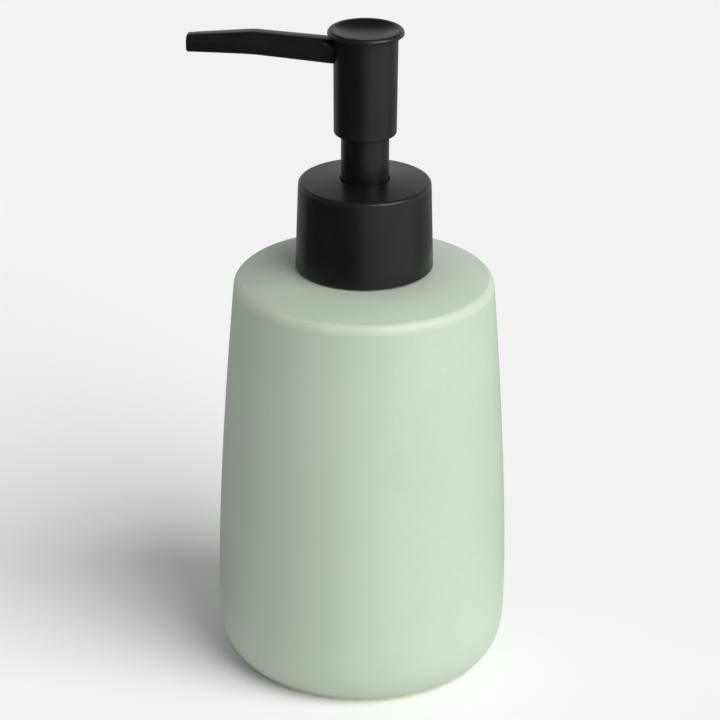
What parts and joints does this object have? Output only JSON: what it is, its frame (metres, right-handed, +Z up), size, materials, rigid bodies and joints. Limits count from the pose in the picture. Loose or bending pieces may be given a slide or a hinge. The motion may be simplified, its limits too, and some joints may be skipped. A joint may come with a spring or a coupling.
{
  "type": "soap pump dispenser",
  "caption": "Round ceramic bottle with a soft shoulder and a screw-on lotion pump: sprung head, bent spout, collar, threaded neck and dip tube.",
  "frame": {"origin": "middle of the bottle's flat foot, on the pump's axis", "axes": "+Z up along the pump's axis, -X along the spout at rest"},
  "size_m": [0.0824, 0.075, 0.1713],
  "materials": {
    "glaze": "matt sage glaze",
    "black_plastic": "satin",
    "natural_plastic": "as moulded",
    "tube_plastic": "extruded",
    "soft_plastic": "soft",
    "silicone": "matt",
    "steel": "drawn wire"
  },
  "bodies": {
    "bottle": {"bottle": "glaze"},
    "neck_plug": {"neck_insert": "natural_plastic", "neck_seal": "silicone"},
    "pump_body": {"pump_housing": "natural_plastic", "chaplet": "natural_plastic", "neck_gasket": "silicone", "ball_cage": "natural_plastic", "dip_tube": "tube_plastic"},
    "closure": {"inner_closure": "natural_plastic", "collar": "black_plastic"},
    "return_spring": {"return_spring": "steel"},
    "plunger": {"stem": "natural_plastic", "piston_tip": "natural_plastic", "stem_sleeve": "black_plastic", "head_core": "natural_plastic", "head_shell": "black_plastic", "press_cap": "black_plastic", "spout": "black_plastic"},
    "piston": {"piston": "soft_plastic"},
    "inlet_ball": {"inlet_ball": "steel"}
  },
  "joints": [
    {"name": "plug_pull", "type": "slide", "parent": "bottle", "child": "neck_plug", "axis": [0, 0, 1], "range_m": [0, 0.11]},
    {"name": "thread_rise", "type": "slide", "parent": "neck_plug", "child": "pump_body", "axis": [0, 0, 1], "range_m": [0, 0.0048]},
    {"name": "collar_unscrew", "type": "hinge", "parent": "pump_body", "child": "closure", "pos_m": [0, 0, 0.12], "axis": [0, 0, 1], "range_deg": [0, 540]},
    {"name": "head_swivel", "type": "hinge", "parent": "pump_body", "child": "return_spring", "pos_m": [0, 0, 0.09], "axis": [0, 0, 1], "continuous": true},
    {"name": "head_press", "type": "slide", "parent": "return_spring", "child": "plunger", "axis": [0, 0, -1], "range_m": [0, 0.0112], "stiffness_N_per_m": 600, "springref_m": -0.01, "deforming": ["return_spring"]},
    {"name": "piston_slip", "type": "slide", "parent": "plunger", "child": "piston", "axis": [0, 0, 1], "range_m": [0, 0.001]},
    {"name": "ball_lift", "type": "slide", "parent": "pump_body", "child": "inlet_ball", "axis": [0, 0, 1], "range_m": [0, 0.0015]}
  ],
  "couplings": [
    {"joint": "thread_rise", "follows": "collar_unscrew", "m_per_rad": 0.00050532}
  ]
}
